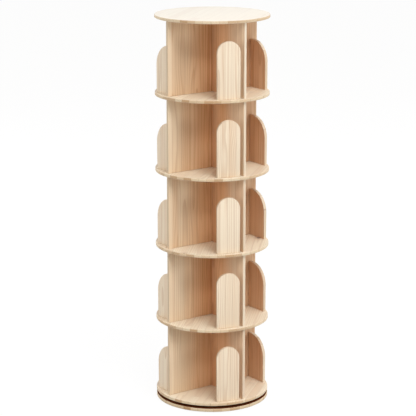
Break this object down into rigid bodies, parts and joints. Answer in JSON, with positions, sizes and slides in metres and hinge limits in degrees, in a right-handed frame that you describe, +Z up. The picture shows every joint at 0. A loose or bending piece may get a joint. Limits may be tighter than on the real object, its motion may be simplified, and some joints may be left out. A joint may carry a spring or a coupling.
{
  "type": "revolving bookcase",
  "caption": "Tall round bookcase of open shelves on crossed upright panels, with round-topped stops at the rim, turning on a ball ring above a base disc.",
  "frame": {"origin": "on the floor, on the axis that the bookcase turns about, which is the middle of the foot ring's underside", "axes": "+Z up along the turning axis; +X along one arm of the long panels, +Y along one of the half panels"},
  "size_m": [0.46, 0.46, 1.5893],
  "materials": {
    "pine": "satin lacquer on edge-glued pine",
    "pale_pine": "satin lacquer on edge-glued pale pine",
    "steel": "zinc-plated steel",
    "nylon": "moulded nylon",
    "felt": "pressed felt"
  },
  "bodies": {
    "base": {"foot_ring": "felt", "base_disc": "pine", "lower_race": "steel", "lower_race_screw_1": "steel", "lower_race_screw_2": "steel", "lower_race_screw_3": "steel"},
    "ball_ring": {"ball_cage": "nylon", "ball_1": "steel", "ball_2": "steel", "ball_3": "steel", "ball_4": "steel", "ball_5": "steel", "ball_6": "steel"},
    "tower": {"upper_race": "steel", "upper_race_screw_1": "steel", "upper_race_screw_2": "steel", "upper_race_screw_3": "steel", "shelf_1": "pale_pine", "shelf_2": "pale_pine", "shelf_3": "pale_pine", "shelf_4": "pale_pine", "shelf_5": "pale_pine", "top_panel": "pale_pine", "long_panel_1": "pine", "long_panel_2": "pine", "long_panel_3": "pine", "long_panel_4": "pine", "long_panel_5": "pine", "half_panel_1_a": "pine", "half_panel_1_b": "pine", "half_panel_2_a": "pine", "half_panel_2_b": "pine", "half_panel_3_a": "pine", "half_panel_3_b": "pine", "half_panel_4_a": "pine", "half_panel_4_b": "pine", "half_panel_5_a": "pine", "half_panel_5_b": "pine", "side_stop_1_a": "pale_pine", "side_stop_1_b": "pale_pine", "side_stop_2_a": "pale_pine", "side_stop_2_b": "pale_pine", "side_stop_3_a": "pale_pine", "side_stop_3_b": "pale_pine", "side_stop_4_a": "pale_pine", "side_stop_4_b": "pale_pine", "side_stop_5_a": "pale_pine", "side_stop_5_b": "pale_pine", "arch_stop_1_a": "pale_pine", "arch_stop_1_b": "pale_pine", "arch_stop_2_a": "pale_pine", "arch_stop_2_b": "pale_pine", "arch_stop_3_a": "pale_pine", "arch_stop_3_b": "pale_pine", "arch_stop_4_a": "pale_pine", "arch_stop_4_b": "pale_pine", "arch_stop_5_a": "pale_pine", "arch_stop_5_b": "pale_pine"}
  },
  "joints": [
    {"name": "tower_spin", "type": "hinge", "parent": "base", "child": "tower", "pos_m": [0, 0, 0.0213], "axis": [0, 0, 1], "continuous": true},
    {"name": "ball_ring_spin", "type": "hinge", "parent": "base", "child": "ball_ring", "pos_m": [0, 0, 0.0213], "axis": [0, 0, 1], "continuous": true}
  ],
  "couplings": [
    {"joint": "ball_ring_spin", "follows": "tower_spin", "ratio": 0.5}
  ]
}
